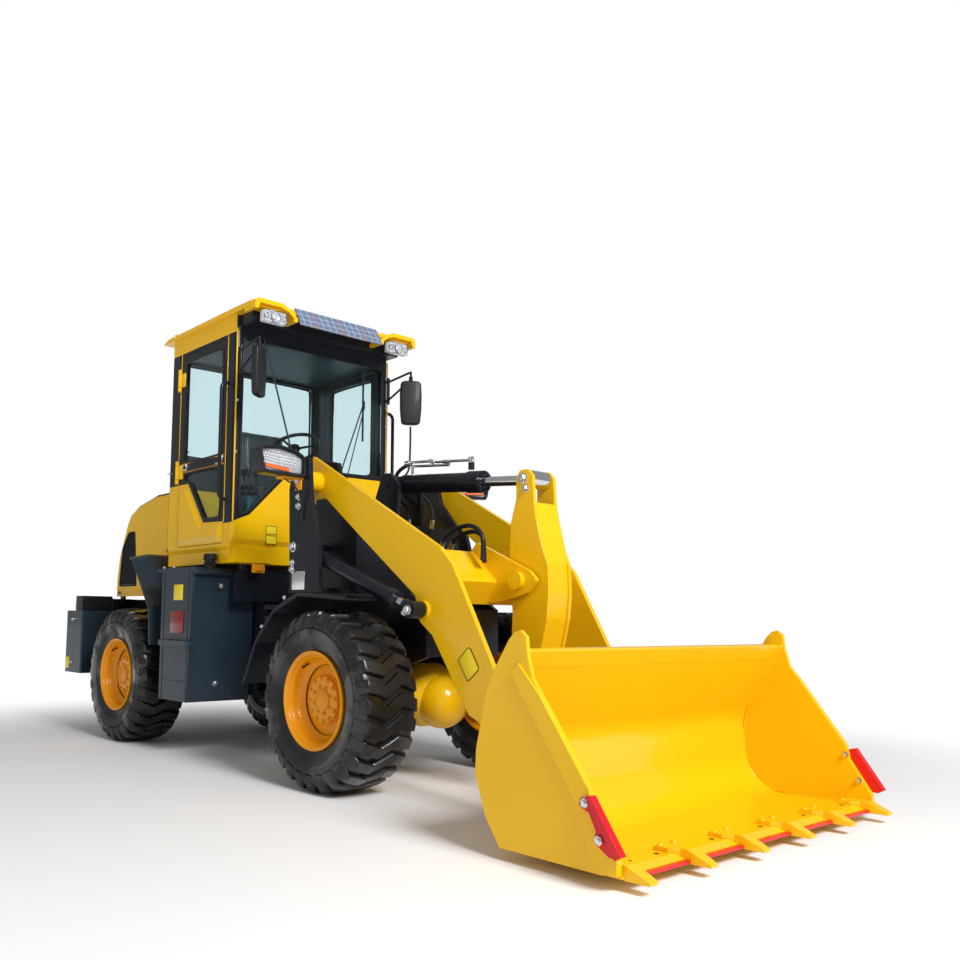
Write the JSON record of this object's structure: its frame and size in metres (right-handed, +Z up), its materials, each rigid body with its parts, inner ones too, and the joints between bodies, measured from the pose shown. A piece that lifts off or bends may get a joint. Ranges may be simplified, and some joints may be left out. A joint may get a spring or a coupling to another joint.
{
  "type": "articulated wheel loader",
  "caption": "Compact articulated wheel loader with a glazed cab, a lifting boom and a tilting toothed bucket, steered by its hinged frame.",
  "frame": {"origin": "on the ground under the middle of the machine's length and width", "axes": "+X forward to the bucket, +Y left, +Z up"},
  "size_m": [5.56, 2.0786, 2.9225],
  "materials": {
    "yellow_paint": "gloss paint",
    "orange_yellow_paint": "semi-gloss paint",
    "black_paint": "semi-gloss paint",
    "slate_paint": "semi-gloss paint",
    "grey_iron": "rough painted casting",
    "tinted_glass": "polished, tinted",
    "black_plastic": "grained",
    "lamp_body": "clear over reflector",
    "roof_film": "glossy film under a clear cover",
    "chrome": "hard chrome, ground",
    "red_paint": "gloss paint",
    "tyre_rubber": "moulded rubber"
  },
  "bodies": {
    "rear_frame": {"rear_frame": "black_paint", "rear_axle": "black_paint", "engine_block": "grey_iron", "counterweight": "black_paint", "rear_boxes": "slate_paint", "rear_lamps": "black_paint", "rear_fenders": "slate_paint", "fuel_tank": "slate_paint", "hydraulic_tank": "slate_paint", "cab_frame": "black_paint", "cab_panels": "yellow_paint", "cab_roof": "yellow_paint", "roof_panel": "roof_film", "cab_glass": "tinted_glass", "driver_seat": "black_plastic", "console": "black_plastic", "steering_wheel": "black_plastic", "roof_lamps": "lamp_body", "mirrors": "black_paint", "wiper": "black_paint", "grab_rails": "black_paint"},
    "front_frame": {"front_frame": "black_paint", "front_axle": "yellow_paint", "front_fenders": "black_paint", "head_lamps": "black_paint", "head_lamp_lenses": "lamp_body"},
    "boom": {"boom": "yellow_paint"},
    "bellcrank": {"bellcrank": "yellow_paint"},
    "bucket_link": {"bucket_link": "yellow_paint"},
    "bucket": {"bucket": "yellow_paint", "bucket_teeth": "yellow_paint", "bucket_edges": "red_paint"},
    "lift_barrels": {"lift_barrels": "black_paint"},
    "lift_rods": {"lift_rods": "chrome", "lift_rod_eyes": "black_paint"},
    "tilt_barrel": {"tilt_barrel": "black_paint"},
    "tilt_rod": {"tilt_rod": "chrome"},
    "steer_barrel_left": {"steer_barrel_left": "black_paint"},
    "steer_rod_left": {"steer_rod_left": "chrome"},
    "steer_barrel_right": {"steer_barrel_right": "black_paint"},
    "steer_rod_right": {"steer_rod_right": "chrome"},
    "hood": {"hood": "yellow_paint", "hood_grilles": "black_paint"},
    "door_left": {"door_left": "black_paint", "door_panel_left": "yellow_paint", "door_glass_left": "tinted_glass"},
    "door_right": {"door_right": "black_paint", "door_panel_right": "yellow_paint", "door_glass_right": "tinted_glass"},
    "wheel_front_left": {"tyre_front_left": "tyre_rubber", "rim_front_left": "orange_yellow_paint"},
    "wheel_front_right": {"tyre_front_right": "tyre_rubber", "rim_front_right": "orange_yellow_paint"},
    "wheel_rear_left": {"tyre_rear_left": "tyre_rubber", "rim_rear_left": "orange_yellow_paint"},
    "wheel_rear_right": {"tyre_rear_right": "tyre_rubber", "rim_rear_right": "orange_yellow_paint"}
  },
  "joints": [
    {"name": "articulation", "type": "hinge", "parent": "rear_frame", "child": "front_frame", "pos_m": [-0.32, 0, 0.56], "axis": [0, 0, 1], "range_deg": [-35, 35]},
    {"name": "boom_lift", "type": "hinge", "parent": "front_frame", "child": "boom", "pos_m": [0.24, 0, 1.7], "axis": [0, -1, 0], "range_deg": [0, 80]},
    {"name": "bucket_tilt", "type": "hinge", "parent": "boom", "child": "bucket", "pos_m": [1.88, 0, 0.33], "axis": [0, -1, 0], "range_deg": [-120, 40]},
    {"name": "bellcrank_turn", "type": "hinge", "parent": "boom", "child": "bellcrank", "pos_m": [1.482, 0, 1.104], "axis": [0, -1, 0], "range_deg": [-11.2, 33.6]},
    {"name": "link_turn", "type": "hinge", "parent": "bellcrank", "child": "bucket_link", "pos_m": [1.425, 0, 0.612], "axis": [0, -1, 0], "range_deg": [-62.25, 20.75]},
    {"name": "lift_barrel_turn", "type": "hinge", "parent": "front_frame", "child": "lift_barrels", "pos_m": [0.195, 0, 1.312], "axis": [0, -1, 0], "range_deg": [0, 71.53]},
    {"name": "lift_rod_slide", "type": "slide", "parent": "lift_barrels", "child": "lift_rods", "axis": [0.937, 0, -0.3493], "range_m": [0, 0.46707]},
    {"name": "tilt_barrel_turn", "type": "hinge", "parent": "front_frame", "child": "tilt_barrel", "pos_m": [0.424, 0, 1.719], "axis": [0, -1, 0], "range_deg": [0, 84.8]},
    {"name": "tilt_rod_slide", "type": "slide", "parent": "tilt_barrel", "child": "tilt_rod", "axis": [0.9966, 0, -0.0822], "range_m": [-0.24923, 0.08308]},
    {"name": "steer_barrel_turn_left", "type": "hinge", "parent": "rear_frame", "child": "steer_barrel_left", "pos_m": [-0.76, 0.19, 0.56], "axis": [0, 0, 1], "range_deg": [-15.78, 15.78]},
    {"name": "steer_rod_slide_left", "type": "slide", "parent": "steer_barrel_left", "child": "steer_rod_left", "axis": [0.9742, 0.2259, 0], "range_m": [-0.17102, 0.17102]},
    {"name": "steer_barrel_turn_right", "type": "hinge", "parent": "rear_frame", "child": "steer_barrel_right", "pos_m": [-0.76, -0.19, 0.56], "axis": [0, 0, 1], "range_deg": [-15.78, 15.78]},
    {"name": "steer_rod_slide_right", "type": "slide", "parent": "steer_barrel_right", "child": "steer_rod_right", "axis": [0.9742, -0.2259, 0], "range_m": [-0.17102, 0.17102]},
    {"name": "wheel_turn_front_left", "type": "hinge", "parent": "front_frame", "child": "wheel_front_left", "pos_m": [0.68, 0.655, 0.475], "axis": [0, 1, 0], "continuous": true},
    {"name": "wheel_turn_front_right", "type": "hinge", "parent": "front_frame", "child": "wheel_front_right", "pos_m": [0.68, -0.655, 0.475], "axis": [0, 1, 0], "continuous": true},
    {"name": "wheel_turn_rear_left", "type": "hinge", "parent": "rear_frame", "child": "wheel_rear_left", "pos_m": [-1.739, 0.655, 0.475], "axis": [0, 1, 0], "continuous": true},
    {"name": "wheel_turn_rear_right", "type": "hinge", "parent": "rear_frame", "child": "wheel_rear_right", "pos_m": [-1.739, -0.655, 0.475], "axis": [0, 1, 0], "continuous": true},
    {"name": "door_swing_left", "type": "hinge", "parent": "rear_frame", "child": "door_left", "pos_m": [-1.194, 0.664, 1.945], "axis": [0, 0, 1], "range_deg": [0, 165]},
    {"name": "door_swing_right", "type": "hinge", "parent": "rear_frame", "child": "door_right", "pos_m": [-1.194, -0.664, 1.945], "axis": [0, 0, -1], "range_deg": [0, 165]},
    {"name": "hood_tilt", "type": "hinge", "parent": "rear_frame", "child": "hood", "pos_m": [-2.522, 0, 1.08], "axis": [0, -1, 0], "range_deg": [0, 60]}
  ],
  "couplings": [
    {"joint": "bellcrank_turn", "follows": "bucket_tilt", "ratio": -0.28},
    {"joint": "link_turn", "follows": "bucket_tilt", "ratio": 0.51879},
    {"joint": "lift_barrel_turn", "follows": "boom_lift", "ratio": 0.89411},
    {"joint": "lift_rod_slide", "follows": "boom_lift", "m_per_rad": 0.33452},
    {"joint": "tilt_barrel_turn", "follows": "boom_lift", "ratio": 1.06},
    {"joint": "tilt_rod_slide", "follows": "bucket_tilt", "m_per_rad": 0.119},
    {"joint": "steer_barrel_turn_left", "follows": "articulation", "ratio": 0.45088},
    {"joint": "steer_rod_slide_left", "follows": "articulation", "m_per_rad": -0.27996},
    {"joint": "steer_barrel_turn_right", "follows": "articulation", "ratio": 0.45088},
    {"joint": "steer_rod_slide_right", "follows": "articulation", "m_per_rad": 0.27996}
  ]
}
